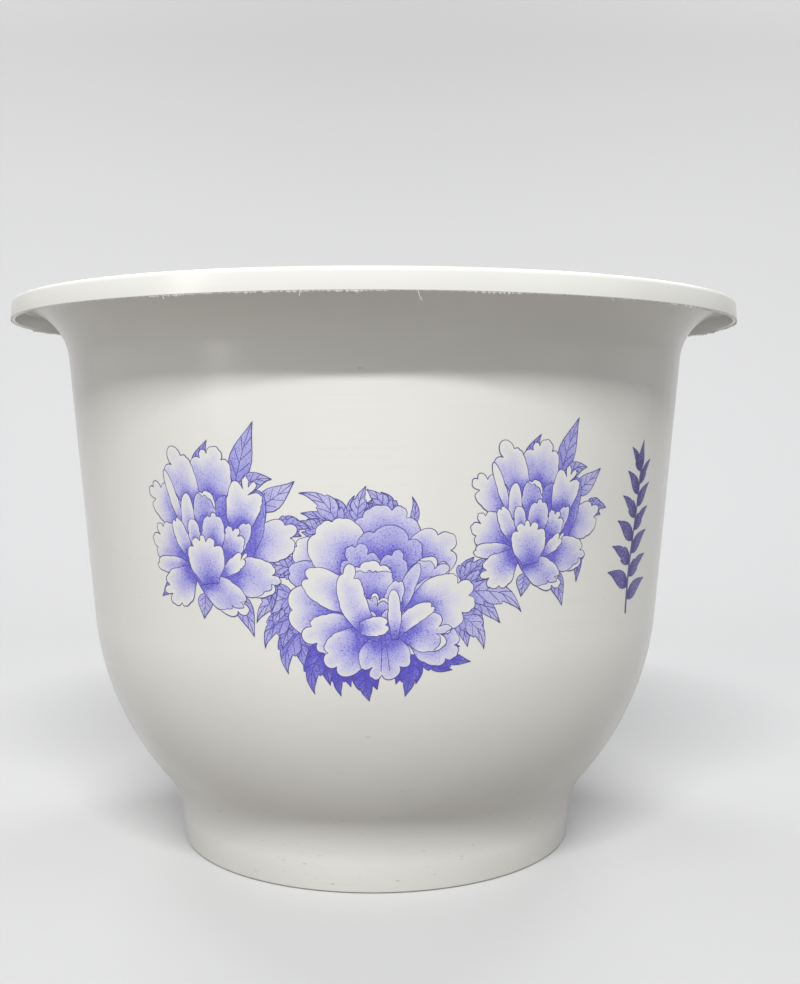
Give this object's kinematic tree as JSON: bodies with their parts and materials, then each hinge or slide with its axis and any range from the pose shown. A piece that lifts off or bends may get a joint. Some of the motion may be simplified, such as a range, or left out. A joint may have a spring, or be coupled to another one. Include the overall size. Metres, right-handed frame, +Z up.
{
  "type": "flowerpot",
  "caption": "Round moulded flowerpot with a flared turned-down rim, a belly above a hollow foot, a printed front, pull-out drain plugs and a lift-out drain grid.",
  "frame": {"origin": "middle of the foot's resting plane", "axes": "+Z up, through the middle of the mouth; -Y towards the printed front; +X to the right of someone who faces the print"},
  "size_m": [0.3799, 0.38, 0.2828],
  "materials": {
    "shell": "smooth moulded white, soft shine",
    "grid": "plain moulded grey",
    "plug": "matt",
    "ink": "transfer print"
  },
  "bodies": {
    "pot": {"pot_shell": "shell", "print_left_peony": "ink", "print_middle_peony": "ink", "print_right_peony": "ink", "print_sprig": "ink"},
    "grid": {"drain_grid": "grid"},
    "plug_1": {"drain_plug_1": "plug"},
    "plug_2": {"drain_plug_2": "plug"},
    "plug_3": {"drain_plug_3": "plug"},
    "plug_4": {"drain_plug_4": "plug"}
  },
  "joints": [
    {"name": "grid_lift", "type": "slide", "parent": "pot", "child": "grid", "axis": [0, 0, 1], "range_m": [0, 0.3]},
    {"name": "plug_1_pull", "type": "slide", "parent": "pot", "child": "plug_1", "axis": [0, 0, -1], "range_m": [0, 0.03]},
    {"name": "plug_2_pull", "type": "slide", "parent": "pot", "child": "plug_2", "axis": [0, 0, -1], "range_m": [0, 0.03]},
    {"name": "plug_3_pull", "type": "slide", "parent": "pot", "child": "plug_3", "axis": [0, 0, -1], "range_m": [0, 0.03]},
    {"name": "plug_4_pull", "type": "slide", "parent": "pot", "child": "plug_4", "axis": [0, 0, -1], "range_m": [0, 0.03]}
  ]
}
